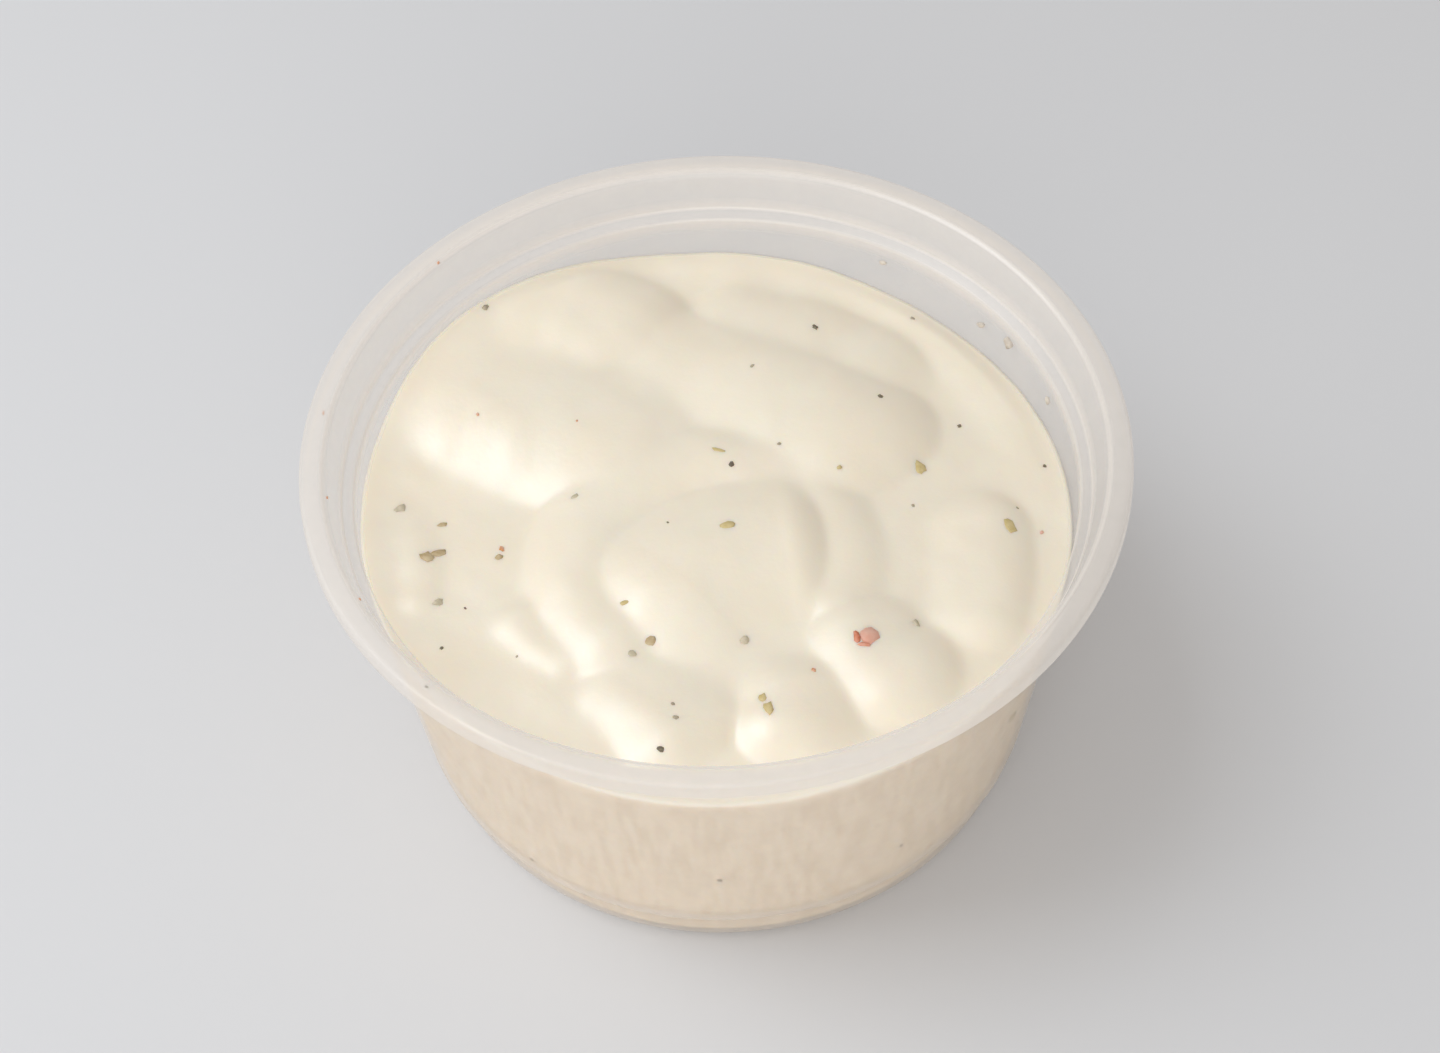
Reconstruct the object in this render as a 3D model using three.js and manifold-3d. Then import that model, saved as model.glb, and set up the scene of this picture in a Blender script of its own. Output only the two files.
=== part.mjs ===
// Translucent plastic portion cup filled with thick, spooned ranch dressing.
// Millimetres, +Z up, origin at the centre of the foot, on the surface the cup stands on.
// The side of the cup that faces the viewer is -Y.

import * as THREE from 'three';
import { mergeVertices } from 'three/addons/utils/BufferGeometryUtils.js';
import Module from 'manifold-3d';

// ---- Driving dimensions of the cup ----

const HEIGHT = 36.4;
const RIM_RADIUS = 36.8;
const WALL = 0.55;

const SKIRT_DROP = 1.7; // how far the rim's edge turns down
const RIM_FLAT_INNER = 34.9; // inner edge of the rim's flat top
const SEAT_TOP_RADIUS = 34.35; // the lid seat, inside, just below the rim
const SEAT_FOOT_RADIUS = 33.4; // the lid seat, inside, where it meets the shoulder
const SHOULDER_DEPTH = 3.9; // from the rim's top down to the shoulder
const SHOULDER_DROP = 0.5; // how far the shoulder falls on its way in
const WALL_TOP_RADIUS = 32.4; // the tapered wall, inside, just below the shoulder
const WALL_TOP_DEPTH = 4.9; // from the rim's top down to the top of the tapered wall
const WALL_TOP_HEIGHT = HEIGHT - WALL_TOP_DEPTH;
const WALL_FOOT_RADIUS = 28.35; // the tapered wall, inside, just above the foot
const WALL_FOOT_HEIGHT = 4.9;
const FOOT_STEP_HEIGHT = 4.3; // the wall steps in to the foot at this height
const FOOT_RADIUS = 27.7; // outside of the inset foot
const FOOT_DRAFT = 0.05; // the foot widens by this much up to its step
const RESTING_RING_INNER = 22; // the floor rests on a ring from here out
const FLOOR_RISE = 0.8; // the floor's middle stands this far off the table
const FLOOR_SLOPE_WIDTH = 1; // width of the slope between the ring and the raised middle
const FLOOR_SLOPE_LEAN = 0.4; // the slope's inside lies this share of its height further out
const RIM_FILLET = 0.5; // the rim's outer edge
const SEAT_FILLET = 0.35; // under the rim, outside the seat
const FOOT_FILLET = 0.9; // the foot's lower edge
const SMALL_FILLET = 0.25; // the other corners, where the sheet turns
const FILLET_MIDDLE = 0.3; // how far in a fillet's middle stands, as a share of its size
const CUP_SEGMENTS = 60;

// ---- Driving dimensions of the dressing ----

const GAP = 0.3; // clearance between the dressing and the cup
const LEVEL_DEPTH = 8.12; // the level between the ridges, below the rim's top
const LEVEL_RISE_Y = -0.02; // the level changes by this much for each millimetre to the back
const LEVEL_BLEND_START = 12; // from this radius out the level turns to that at the wall
const RIDGE_BLEND_START = 29.5; // from this radius out the ridges run out
const RIDGE_FALL = 2; // a ridge has fallen by this much at its stated reach
const FOLD_FILL = 0.22; // how far the crease between two ridges is filled
const EDGE_ROUNDS = 6; // how often the search for the surface's edge closes in on it

// Depth at which the dressing meets the wall, every 45 degrees from +X counter-clockwise
const WALL_DEPTHS = [9.9, 10.3, 8.5, 5.9, 8.2, 8.7, 9.5, 9.1];

// The top is a disc of this many rings, ring k holding 6 k points
const SURFACE_RINGS = 28;
const EDGE_POINTS = 6 * SURFACE_RINGS;

// Each ridge runs on an arc between two points. bulge is how far the arc stands to the left
// of the straight way between them. depths are those of its crest at the start, middle and
// end. reach is how far it spreads to the left, to the right, behind its start and past its
// end. shoulder is 2 for a round section, and more for a flat top with steep sides.
const RIDGES = {
  mound: {
    from: [-4.4, -9.5], to: [5.8, -4.7], bulge: 1,
    depths: [5.1, 5, 5.1], reach: [7.4, 7.8, 6.4, 3.9], shoulder: 1.85,
  },
  ringRoundMound: {
    from: [-9.9, -14.4], to: [9.6, -11.4], bulge: 17.6,
    depths: [6.6, 6.1, 7], reach: [5.3, 6, 5.6, 4], shoulder: 2.1,
  },
  broadLobe: {
    from: [-21.6, 12.9], to: [-10.8, 7.3], bulge: 0.2,
    depths: [5.8, 5.6, 5.6], reach: [12, 7.8, 8.6, 10.5], shoulder: 2,
  },
  backLeftHill: {
    from: [-16.4, 23.8], to: [-9, 21.2], bulge: 0.6,
    depths: [5.8, 5.5, 5.5], reach: [6.8, 9, 8, 6], shoulder: 2.1,
  },
  longBand: {
    from: [-4.2, 17.7], to: [12.4, 6.9], bulge: 1.4,
    depths: [6.1, 5.7, 5.5], reach: [6.7, 10, 7.2, 5.4], shoulder: 2.1,
  },
  upperBand: {
    from: [1.5, 22], to: [13, 16.1], bulge: 0.1,
    depths: [7.1, 7, 7.4], reach: [6.8, 5.8, 4.8, 7], shoulder: 2,
  },
  backCrescent: {
    from: [-9.3, 30.8], to: [27.5, 1.4], bulge: 12,
    depths: [7.9, 9.4, 9.6], reach: [6, 6, 3.2, 6.3], shoulder: 2,
  },
  rightLobe: {
    from: [23.7, -3.2], to: [22.7, -13.3], bulge: 0.3,
    depths: [7.8, 7.7, 7.8], reach: [4.6, 7.4, 5.2, 4.8], shoulder: 2.2,
  },
  frontRightLobe: {
    from: [11.9, -15.3], to: [14.8, -19.4], bulge: -0.5,
    depths: [6.7, 6.7, 6.7], reach: [6, 5.4, 5, 5.4], shoulder: 2.1,
  },
  frontLobe: {
    from: [5.3, -21], to: [5.2, -23.6], bulge: 0.1,
    depths: [7.2, 7.2, 7.2], reach: [7, 5.3, 5, 5], shoulder: 2.1,
  },
  frontLeftRidge: {
    from: [-17.9, -12.3], to: [-13.6, -16.3], bulge: -0.2,
    depths: [7.7, 7.7, 7.7], reach: [5, 4.1, 3.4, 3.4], shoulder: 2.1,
  },
  frontLeftLobe: {
    from: [-9.1, -19.3], to: [-4.5, -24.7], bulge: 0.3,
    depths: [7.5, 7.5, 7.5], reach: [8.8, 5.7, 4.4, 4.4], shoulder: 2.1,
  },
  leftSwell: {
    from: [-27.3, -2.5], to: [-26.6, -9], bulge: 0.2,
    depths: [8, 7.9, 8], reach: [4.2, 3.6, 4, 4], shoulder: 2,
  },
};

// The herb, onion and pepper flakes large enough to be seen from a step away
const FLAKES = {
  pepper: { at: [12.4, -16.4], size: [2.4, 1.9, 0.9], turn: -40 },
  onion: { at: [-25.2, -4.6], size: [2.8, 1, 0.7], turn: 14 },
  yellowHerb: { at: [0.8, -4.9], size: [1.5, 1, 0.6], turn: 10 },
  oliveHerb: { at: [18.5, 3.7], size: [1.3, 1.5, 0.6], turn: 60 },
  frontHerb: { at: [3.6, -23.2], size: [0.9, 2.3, 0.6], turn: 15 },
  greyHerb: { at: [1.9, -15.9], size: [1.1, 1, 0.6], turn: 0 },
  leftHerb: { at: [-28.6, 1.1], size: [1.2, 0.9, 0.6], turn: 30 },
};
const FLAKE_ROUGHNESS = 0.22; // share by which a flake's points stray in and out
const FLAKE_SEED = 7;

// ---- The cup ----

// Its inside below the tapered wall, or a surface that stands clear of that inside
function cavityFloor(clearance) {
  const wallFoot = WALL_FOOT_RADIUS - clearance;
  const foot = FOOT_RADIUS - WALL - clearance;
  const floor = WALL + clearance;
  const ring = RESTING_RING_INNER + FLOOR_SLOPE_LEAN * floor;
  return [
    [wallFoot, WALL_FOOT_HEIGHT + clearance],
    [wallFoot - SMALL_FILLET, WALL_FOOT_HEIGHT - SMALL_FILLET + clearance],
    [foot + FOOT_DRAFT, FOOT_STEP_HEIGHT + clearance],
    [foot, floor + FOOT_FILLET],
    [foot - FOOT_FILLET * FILLET_MIDDLE, floor + FOOT_FILLET * FILLET_MIDDLE],
    [foot - FOOT_FILLET, floor],
    [ring, floor],
    [ring - FLOOR_SLOPE_WIDTH, FLOOR_RISE + floor],
    [0, FLOOR_RISE + floor],
  ];
}

function footOutside() {
  return [
    [0, FLOOR_RISE],
    [RESTING_RING_INNER - FLOOR_SLOPE_WIDTH, FLOOR_RISE],
    [RESTING_RING_INNER, 0],
    [FOOT_RADIUS - FOOT_FILLET, 0],
    [FOOT_RADIUS - FOOT_FILLET * FILLET_MIDDLE, FOOT_FILLET * FILLET_MIDDLE],
    [FOOT_RADIUS, FOOT_FILLET],
    [FOOT_RADIUS + FOOT_DRAFT, FOOT_STEP_HEIGHT - SMALL_FILLET],
  ];
}

function wallOutside() {
  const wallFoot = WALL_FOOT_RADIUS + WALL;
  const wallTop = WALL_TOP_RADIUS + WALL;
  const seatTop = SEAT_TOP_RADIUS + WALL;
  return [
    [wallFoot - SMALL_FILLET, FOOT_STEP_HEIGHT],
    [wallFoot, FOOT_STEP_HEIGHT + SMALL_FILLET],
    [wallTop, WALL_TOP_HEIGHT],
    [wallTop + SMALL_FILLET, WALL_TOP_HEIGHT + SMALL_FILLET],
    [SEAT_FOOT_RADIUS + WALL, HEIGHT - SHOULDER_DEPTH - SMALL_FILLET],
    [seatTop, HEIGHT - WALL - SEAT_FILLET],
    [seatTop + SEAT_FILLET, HEIGHT - WALL],
  ];
}

function rimOutside() {
  const skirtInner = RIM_RADIUS - WALL;
  const skirtFoot = HEIGHT - SKIRT_DROP;
  return [
    [skirtInner - SMALL_FILLET, HEIGHT - WALL],
    [skirtInner, HEIGHT - WALL - SMALL_FILLET],
    [skirtInner, skirtFoot],
    [RIM_RADIUS, skirtFoot],
    [RIM_RADIUS, HEIGHT - RIM_FILLET],
    [RIM_RADIUS - RIM_FILLET * FILLET_MIDDLE, HEIGHT - RIM_FILLET * FILLET_MIDDLE],
    [RIM_RADIUS - RIM_FILLET, HEIGHT],
  ];
}

function cupInside() {
  const shoulder = HEIGHT - SHOULDER_DEPTH;
  const fillet = RIM_FLAT_INNER - SEAT_TOP_RADIUS;
  return [
    [RIM_FLAT_INNER, HEIGHT],
    [SEAT_TOP_RADIUS + fillet * FILLET_MIDDLE, HEIGHT - fillet * FILLET_MIDDLE],
    [SEAT_TOP_RADIUS, HEIGHT - fillet],
    [SEAT_FOOT_RADIUS, shoulder + SMALL_FILLET],
    [SEAT_FOOT_RADIUS - SMALL_FILLET, shoulder],
    [WALL_TOP_RADIUS + SMALL_FILLET, shoulder - SHOULDER_DROP],
    [WALL_TOP_RADIUS, WALL_TOP_HEIGHT],
    ...cavityFloor(0),
  ];
}

function makeCup() {
  const profile = [...footOutside(), ...wallOutside(), ...rimOutside(), ...cupInside()];
  const geometry = new THREE.LatheGeometry(
    profile.map(([radius, z]) => new THREE.Vector2(radius, z)),
    CUP_SEGMENTS,
  );
  geometry.rotateX(Math.PI / 2);
  return geometry;
}

// ---- The dressing's surface ----

const mix = (a, b, share) => a + (b - a) * share;

function smoothstep(low, high, value) {
  const share = THREE.MathUtils.clamp((value - low) / (high - low), 0, 1);
  return share * share * (3 - 2 * share);
}

// The circle that a ridge's crest runs on. side is 1 where the arc bulges to the left.
function circleOf({ from, to, bulge }) {
  const length = Math.hypot(to[0] - from[0], to[1] - from[1]);
  const along = [(to[0] - from[0]) / length, (to[1] - from[1]) / length];
  const left = [-along[1], along[0]];
  const side = Math.sign(bulge);
  const signedRadius = (length * length / 4 + bulge * bulge) / (2 * bulge);
  const inset = bulge - signedRadius;
  return {
    along,
    outward: [left[0] * side, left[1] * side],
    side,
    radius: Math.abs(signedRadius),
    centre: [
      (from[0] + to[0]) / 2 + left[0] * inset,
      (from[1] + to[1]) / 2 + left[1] * inset,
    ],
    halfSweep: Math.atan2(length / 2, Math.abs(signedRadius) - Math.abs(bulge)),
  };
}

// How far a point lies across the ridge's crest and past its ends, and its share of the way
function placeOnRidge(ridge, circle, x, y) {
  const fromCentre = [x - circle.centre[0], y - circle.centre[1]];
  const alongPart = fromCentre[0] * circle.along[0] + fromCentre[1] * circle.along[1];
  const outwardPart = fromCentre[0] * circle.outward[0] + fromCentre[1] * circle.outward[1];
  const turn = Math.atan2(alongPart, outwardPart);
  if (Math.abs(turn) <= circle.halfSweep) {
    const across = (Math.hypot(...fromCentre) - circle.radius) * circle.side;
    return { across, past: 0, share: (turn / circle.halfSweep + 1) / 2 };
  }
  const isEnd = turn > 0;
  const corner = isEnd ? ridge.to : ridge.from;
  const endTurn = isEnd ? circle.halfSweep : -circle.halfSweep;
  const heading = [0, 1].map(
    (i) => circle.along[i] * Math.cos(endTurn) - circle.outward[i] * Math.sin(endTurn),
  );
  const offset = [x - corner[0], y - corner[1]];
  return {
    across: heading[0] * offset[1] - heading[1] * offset[0],
    past: heading[0] * offset[0] + heading[1] * offset[1],
    share: isEnd ? 1 : 0,
  };
}

function crestDepth([start, middle, end], share) {
  return share < 0.5
    ? mix(start, middle, smoothstep(0, 0.5, share))
    : mix(middle, end, smoothstep(0.5, 1, share));
}

const circles = Object.values(RIDGES).map((ridge) => [ridge, circleOf(ridge)]);

function ridgeHeight(ridge, circle, x, y) {
  const { across, past, share } = placeOnRidge(ridge, circle, x, y);
  const [left, right, behind, beyond] = ridge.reach;
  const sideways = across / (across > 0 ? left : right);
  const lengthways = past / (past > 0 ? beyond : behind);
  const fall = RIDGE_FALL * Math.hypot(sideways, lengthways) ** ridge.shoulder;
  return HEIGHT - crestDepth(ridge.depths, share) - fall;
}

function wallLevel(x, y) {
  const count = WALL_DEPTHS.length;
  const place = (Math.atan2(y, x) / (2 * Math.PI) * count + count) % count;
  const index = Math.floor(place);
  const depth = mix(
    WALL_DEPTHS[index],
    WALL_DEPTHS[(index + 1) % count],
    smoothstep(0, 1, place - index),
  );
  return HEIGHT - depth;
}

// The ridges and the level between them, joined with softly filled creases
function surfaceHeight(x, y) {
  const fromCentre = Math.hypot(x, y);
  const atWall = wallLevel(x, y);
  const level = mix(
    HEIGHT - LEVEL_DEPTH + LEVEL_RISE_Y * y,
    atWall,
    smoothstep(LEVEL_BLEND_START, WALL_TOP_RADIUS, fromCentre),
  );
  const heights = [level, ...circles.map(([ridge, circle]) => ridgeHeight(ridge, circle, x, y))];
  const highest = Math.max(...heights);
  const share = heights.reduce((sum, height) => sum + Math.exp((height - highest) / FOLD_FILL), 0);
  const swirl = highest + FOLD_FILL * Math.log(share);
  return mix(swirl, atWall, smoothstep(RIDGE_BLEND_START, WALL_TOP_RADIUS, fromCentre));
}

// ---- The dressing as a closed body ----

function wallRadius(z) {
  const share = (z - WALL_FOOT_HEIGHT) / (WALL_TOP_HEIGHT - WALL_FOOT_HEIGHT);
  return mix(WALL_FOOT_RADIUS, WALL_TOP_RADIUS, share);
}

// The radius at which the surface comes to the wall, found by closing in on it
function edgeRadius(angle) {
  let radius = WALL_TOP_RADIUS - GAP;
  for (let step = 0; step < EDGE_ROUNDS; step += 1) {
    const z = surfaceHeight(radius * Math.cos(angle), radius * Math.sin(angle));
    radius = wallRadius(z) - GAP;
  }
  return radius;
}

function surfacePoints() {
  const points = [[0, 0, surfaceHeight(0, 0)]];
  for (let ring = 1; ring <= SURFACE_RINGS; ring += 1) {
    for (let step = 0; step < 6 * ring; step += 1) {
      const angle = 2 * Math.PI * step / (6 * ring);
      const radius = edgeRadius(angle) * ring / SURFACE_RINGS;
      const x = radius * Math.cos(angle);
      const y = radius * Math.sin(angle);
      points.push([x, y, surfaceHeight(x, y)]);
    }
  }
  return points;
}

function undersidePoints() {
  const points = [];
  for (const [radius, z] of cavityFloor(GAP).slice(0, -1)) {
    for (let step = 0; step < EDGE_POINTS; step += 1) {
      const angle = 2 * Math.PI * step / EDGE_POINTS;
      points.push([radius * Math.cos(angle), radius * Math.sin(angle), z]);
    }
  }
  points.push([0, 0, FLOOR_RISE + WALL + GAP]);
  return points;
}

const ringStart = (ring) => (ring === 0 ? 0 : 1 + 3 * ring * (ring - 1));
const ringPoint = (ring, step) => ringStart(ring) + (ring === 0 ? 0 : step % (6 * ring));

function surfaceFaces() {
  const faces = [];
  for (let ring = 1; ring <= SURFACE_RINGS; ring += 1) {
    for (let sector = 0; sector < 6; sector += 1) {
      for (let step = 0; step < ring; step += 1) {
        const outer = ringPoint(ring, sector * ring + step);
        const nextOuter = ringPoint(ring, sector * ring + step + 1);
        const inner = ringPoint(ring - 1, sector * (ring - 1) + step);
        faces.push(inner, outer, nextOuter);
        if (step < ring - 1) {
          faces.push(inner, nextOuter, ringPoint(ring - 1, sector * (ring - 1) + step + 1));
        }
      }
    }
  }
  return faces;
}

function undersideFaces() {
  const faces = [];
  const bands = cavityFloor(GAP).length - 1;
  const firstEdge = ringStart(SURFACE_RINGS);
  for (let band = 0; band < bands; band += 1) {
    const upper = firstEdge + band * EDGE_POINTS;
    const lower = upper + EDGE_POINTS;
    for (let step = 0; step < EDGE_POINTS; step += 1) {
      const next = (step + 1) % EDGE_POINTS;
      faces.push(upper + step, lower + step, lower + next);
      faces.push(upper + step, lower + next, upper + next);
    }
  }
  const lastRing = firstEdge + bands * EDGE_POINTS;
  const middle = lastRing + EDGE_POINTS;
  for (let step = 0; step < EDGE_POINTS; step += 1) {
    faces.push(middle, lastRing + (step + 1) % EDGE_POINTS, lastRing + step);
  }
  return faces;
}

function makeDressingBody() {
  const geometry = new THREE.BufferGeometry();
  const points = [...surfacePoints(), ...undersidePoints()];
  geometry.setAttribute('position', new THREE.Float32BufferAttribute(points.flat(), 3));
  geometry.setIndex([...surfaceFaces(), ...undersideFaces()]);
  return geometry;
}

// ---- Flakes ----

// Evenly spread draws between 0 and 1, the same on every run
function seededRandom(seed) {
  let state = seed;
  return () => {
    state = (state * 1664525 + 1013904223) % 4294967296;
    return state / 4294967296;
  };
}

// A small uneven pebble, half sunk in the surface
function makeFlake({ at, size, turn }, random) {
  const sphere = new THREE.SphereGeometry(0.5, 6, 3);
  sphere.deleteAttribute('normal');
  sphere.deleteAttribute('uv');
  const geometry = mergeVertices(sphere, 1e-4);
  const position = geometry.getAttribute('position');
  const point = new THREE.Vector3();
  for (let index = 0; index < position.count; index += 1) {
    point.fromBufferAttribute(position, index);
    point.multiplyScalar(1 + FLAKE_ROUGHNESS * (2 * random() - 1));
    position.setXYZ(index, point.x, point.y, point.z);
  }
  geometry.rotateX(Math.PI / 2);
  geometry.scale(...size);
  geometry.rotateZ(THREE.MathUtils.degToRad(turn));
  geometry.translate(at[0], at[1], surfaceHeight(...at));
  return geometry;
}

const manifold = await Module();
manifold.setup();

function solidOf(geometry) {
  return new manifold.Manifold(new manifold.Mesh({
    numProp: 3,
    vertProperties: geometry.getAttribute('position').array,
    triVerts: new Uint32Array(geometry.index.array),
  }));
}

function geometryOf(solid) {
  const mesh = solid.getMesh();
  const geometry = new THREE.BufferGeometry();
  geometry.setAttribute('position', new THREE.BufferAttribute(mesh.vertProperties, 3));
  geometry.setIndex(new THREE.BufferAttribute(mesh.triVerts, 1));
  geometry.computeVertexNormals();
  return geometry;
}

function makeDressing() {
  const random = seededRandom(FLAKE_SEED);
  let solid = solidOf(makeDressingBody());
  for (const flake of Object.values(FLAKES)) {
    solid = solid.add(solidOf(makeFlake(flake, random)));
  }
  return geometryOf(solid);
}

// ---- The part ----

function named(name, geometry, color, roughness) {
  const material = new THREE.MeshStandardMaterial({ color, roughness, metalness: 0 });
  const mesh = new THREE.Mesh(geometry, material);
  mesh.name = name;
  return mesh;
}

const portionCup = new THREE.Group();
portionCup.add(
  named('cup', makeCup(), '#e3dfd8', 0.3),
  named('dressing', makeDressing(), '#ebdec8', 0.35),
);

export default portionCup;
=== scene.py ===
"""Looks of a translucent plastic portion cup filled with thick, spooned ranch dressing.

Sizes are in millimetres, as in the part's own source, and turn into metres where meshes are made.
"""

import math
import random

import bpy
import numpy as np
from mathutils import Matrix, Vector


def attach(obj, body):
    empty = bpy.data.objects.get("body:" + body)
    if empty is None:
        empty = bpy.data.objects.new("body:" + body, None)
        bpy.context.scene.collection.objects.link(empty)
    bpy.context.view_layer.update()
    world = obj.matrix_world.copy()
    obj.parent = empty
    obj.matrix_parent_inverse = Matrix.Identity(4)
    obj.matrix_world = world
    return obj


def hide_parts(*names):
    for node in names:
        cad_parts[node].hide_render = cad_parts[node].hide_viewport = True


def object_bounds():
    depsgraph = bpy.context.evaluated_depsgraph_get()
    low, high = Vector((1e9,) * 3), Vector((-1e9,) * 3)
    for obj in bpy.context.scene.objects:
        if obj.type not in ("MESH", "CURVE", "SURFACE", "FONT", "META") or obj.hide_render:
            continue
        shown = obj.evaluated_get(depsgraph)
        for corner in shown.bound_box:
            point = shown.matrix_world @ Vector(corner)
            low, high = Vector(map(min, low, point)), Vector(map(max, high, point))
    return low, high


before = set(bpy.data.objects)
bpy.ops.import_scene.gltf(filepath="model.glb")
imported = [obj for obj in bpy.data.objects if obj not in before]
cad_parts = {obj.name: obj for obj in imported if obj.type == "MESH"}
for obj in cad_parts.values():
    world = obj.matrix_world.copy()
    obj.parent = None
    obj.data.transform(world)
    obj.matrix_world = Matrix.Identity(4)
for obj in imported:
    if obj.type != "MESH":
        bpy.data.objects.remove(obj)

MM = 0.001
cad_low, cad_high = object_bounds()

# ---- The cup's sizes ----

HEIGHT = cad_high.z / MM
RIM_RADIUS = cad_high.x / MM
WALL = 0.55
SKIRT_DROP = 1.7
RIM_FLAT_INNER = 34.9
SEAT_TOP_RADIUS = 34.35
SEAT_FOOT_RADIUS = 33.4
SHOULDER_DEPTH = 3.9
SHOULDER_DROP = 0.5
WALL_TOP_RADIUS = 32.4
WALL_TOP_HEIGHT = HEIGHT - 4.9
WALL_FOOT_RADIUS = 28.35
FOOT_STEP_HEIGHT = 4.3
WALL_FOOT_HEIGHT = FOOT_STEP_HEIGHT + 0.6
FOOT_RADIUS = 27.7
RESTING_RING_INNER = 22
FLOOR_RISE = 0.8
CUP_SEGMENTS = 288
WALL_WOBBLE = 0.05  # how far the thin wall strays from a true cone

# ---- The dressing's sizes, the same as the solid's ----

LEVEL_DEPTH = 8.12
LEVEL_RISE_Y = -0.02
LEVEL_BLEND_START = 12  # from here outwards the level between the ridges turns to the wall's
RIDGE_FALL = 2
FOLD_FILL = 0.22
RIDGE_BLEND_START = 29.5
WALL_DEPTHS = (9.9, 10.3, 8.5, 5.9, 8.2, 8.7, 9.5, 9.1)

# name: from, to, bulge, crest depths, reach left, right, behind and beyond, shoulder
RIDGES = {
    "mound": ((-4.4, -9.5), (5.8, -4.7), 1, (5.1, 5, 5.1), (7.4, 7.8, 6.4, 3.9), 1.85),
    "ring_round_mound": ((-9.9, -14.4), (9.6, -11.4), 17.6, (6.6, 6.1, 7), (5.3, 6, 5.6, 4), 2.1),
    "broad_lobe": ((-21.6, 12.9), (-10.8, 7.3), 0.2, (5.8, 5.6, 5.6), (12, 7.8, 8.6, 10.5), 2),
    "back_left_hill": ((-16.4, 23.8), (-9, 21.2), 0.6, (5.8, 5.5, 5.5), (6.8, 9, 8, 6), 2.1),
    "long_band": ((-4.2, 17.7), (12.4, 6.9), 1.4, (6.1, 5.7, 5.5), (6.7, 10, 7.2, 5.4), 2.1),
    "upper_band": ((1.5, 22), (13, 16.1), 0.1, (7.1, 7, 7.4), (6.8, 5.8, 4.8, 7), 2),
    "back_crescent": ((-9.3, 30.8), (27.5, 1.4), 12, (7.9, 9.4, 9.6), (6, 6, 3.2, 6.3), 2),
    "right_lobe": ((23.7, -3.2), (22.7, -13.3), 0.3, (7.8, 7.7, 7.8), (4.6, 7.4, 5.2, 4.8), 2.2),
    "front_right_lobe": (
        (11.9, -15.3), (14.8, -19.4), -0.5, (6.7, 6.7, 6.7), (6, 5.4, 5, 5.4), 2.1
    ),
    "front_lobe": ((5.3, -21), (5.2, -23.6), 0.1, (7.2, 7.2, 7.2), (7, 5.3, 5, 5), 2.1),
    "front_left_ridge": (
        (-17.9, -12.3), (-13.6, -16.3), -0.2, (7.7, 7.7, 7.7), (5, 4.1, 3.4, 3.4), 2.1
    ),
    "front_left_lobe": (
        (-9.1, -19.3), (-4.5, -24.7), 0.3, (7.5, 7.5, 7.5), (8.8, 5.7, 4.4, 4.4), 2.1
    ),
    "left_swell": ((-27.3, -2.5), (-26.6, -9), 0.2, (8, 7.9, 8), (4.2, 3.6, 4, 4), 2),
}

SURFACE_RINGS = 140
SIDE_LEVELS = 18
REACH_INTO_WALL = 0.3  # the dressing meets the plastic inside the wall, so no air shows

# ---- Flakes: place across and to the back, then length, width, thickness and turn ----

MUSTARD_HERBS = (
    (0.8, -4.9, 1.5, 0.9, 0.5, 10),
    (18.5, 3.7, 1.1, 1.7, 0.5, 35),
    (3.2, -22.3, 0.7, 0.9, 0.4, 20),
    (3.7, -23.6, 0.9, 1.5, 0.5, 20),
    (0.3, 4.7, 1.3, 0.4, 0.3, -20),
    (26.1, -3.8, 1.2, 1.6, 0.3, 20),
    (-8.5, -12.3, 0.8, 0.5, 0.3, 0),
    (11.1, 2.2, 0.5, 0.4, 0.3, 40),
)
GREY_HERBS = (
    (1.9, -15.9, 1.0, 0.9, 0.4, 30),
    (-28.6, 1.1, 1.2, 0.9, 0.4, 30),
    (-12.8, 0.3, 0.8, 0.5, 0.3, 30),
    (-25.0, -9.8, 1.0, 0.7, 0.3, 10),
    (-7.9, -17.2, 0.8, 0.6, 0.3, 0),
    (16.9, -14.5, 0.7, 0.9, 0.4, 10),
)
ONION = (
    (-25.2, -4.4, 1.9, 0.8, 0.5, 14),
    (-26.1, -4.9, 1.2, 1.1, 0.6, 0),
    (-6.3, -16.0, 1.3, 0.9, 0.3, 10),
    (-24.8, -1.0, 0.9, 0.6, 0.3, 0),
    (-19.6, -5.1, 0.8, 0.6, 0.4, 20),
)
RED_PEPPER = (
    (12.6, -16.7, 2.1, 1.9, 0.8, -50),
)
PEPPER_SKIN = (
    (11.6, -16.9, 0.6, 1.5, 0.8, 10),
    (12.2, -17.7, 1.4, 0.4, 0.6, -12),
)
DARK_SPECKS = (
    (9.8, 20.6, 0.7), (15.3, 10.8, 0.6), (22.6, 9.5, 0.5), (30.0, 4.4, 0.4), (-4.5, -3.8, 0.3),
    (-5.7, -27.0, 0.7), (-24.6, -14.8, 0.4), (1.4, 3.1, 0.65), (-22.6, -10.6, 0.3),
)
FAINT_SPECKS = (
    (5.8, 5.3, 0.4), (-4.3, -24.1, 0.5), (17.6, -0.8, 0.4), (27.0, -1.0, 0.35), (3.7, 14.5, 0.45),
    (19.2, 23.2, 0.5), (-21.1, 23.6, 0.8), (-4.5, -22.6, 0.4), (-18.0, -16.2, 0.3),
)
ORANGE_SPECKS = (
    (-21.6, 10.1, 0.4), (-12.5, 8.5, 0.3), (-19.4, -4.2, 0.6), (7.7, -19.6, 0.55), (29.0, -3.5, 0.6),
)

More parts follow.
